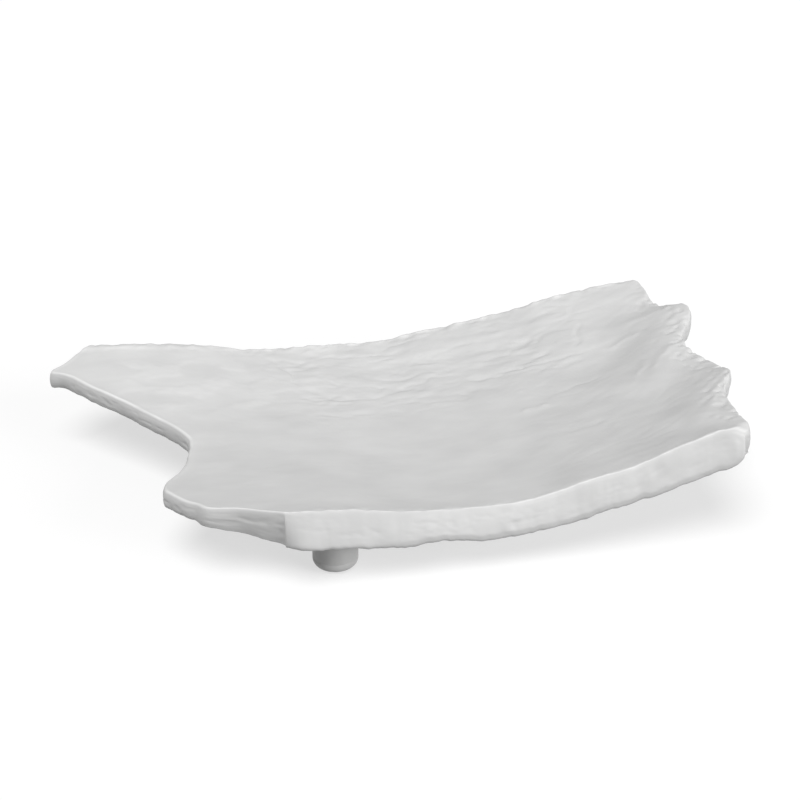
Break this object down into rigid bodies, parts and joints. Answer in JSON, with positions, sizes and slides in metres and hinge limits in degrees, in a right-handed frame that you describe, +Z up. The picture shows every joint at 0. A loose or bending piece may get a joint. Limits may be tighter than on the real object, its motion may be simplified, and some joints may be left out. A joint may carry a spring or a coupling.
{
  "type": "serving platter",
  "caption": "Shallow serving platter moulded like a torn sheet of bark, notched at its left end, curled and scalloped at its right end, standing on screwed-on peg feet.",
  "frame": {"origin": "on the table, under the middle of the platter's bounding box", "axes": "+X along the length towards the curled, scalloped end, +Y from the tall front edge to the back edge, +Z up"},
  "size_m": [0.394, 0.216, 0.0718],
  "materials": {
    "melamine": "satin white moulded melamine with bark relief",
    "melamine_foot": "satin white moulded melamine, plain",
    "screw_steel": "plain stainless steel",
    "insert_brass": "turned brass",
    "pad_rubber": "grey moulded rubber"
  },
  "bodies": {
    "root": {"platter_body": "melamine", "foot_front_left": "melamine_foot", "foot_screw_front_left": "screw_steel", "threaded_insert_front_left": "insert_brass", "sole_pad_front_left": "pad_rubber", "foot_back_left": "melamine_foot", "foot_screw_back_left": "screw_steel", "threaded_insert_back_left": "insert_brass", "sole_pad_back_left": "pad_rubber", "foot_right": "melamine_foot", "foot_screw_right": "screw_steel", "threaded_insert_right": "insert_brass", "sole_pad_right": "pad_rubber"}
  },
  "joints": []
}
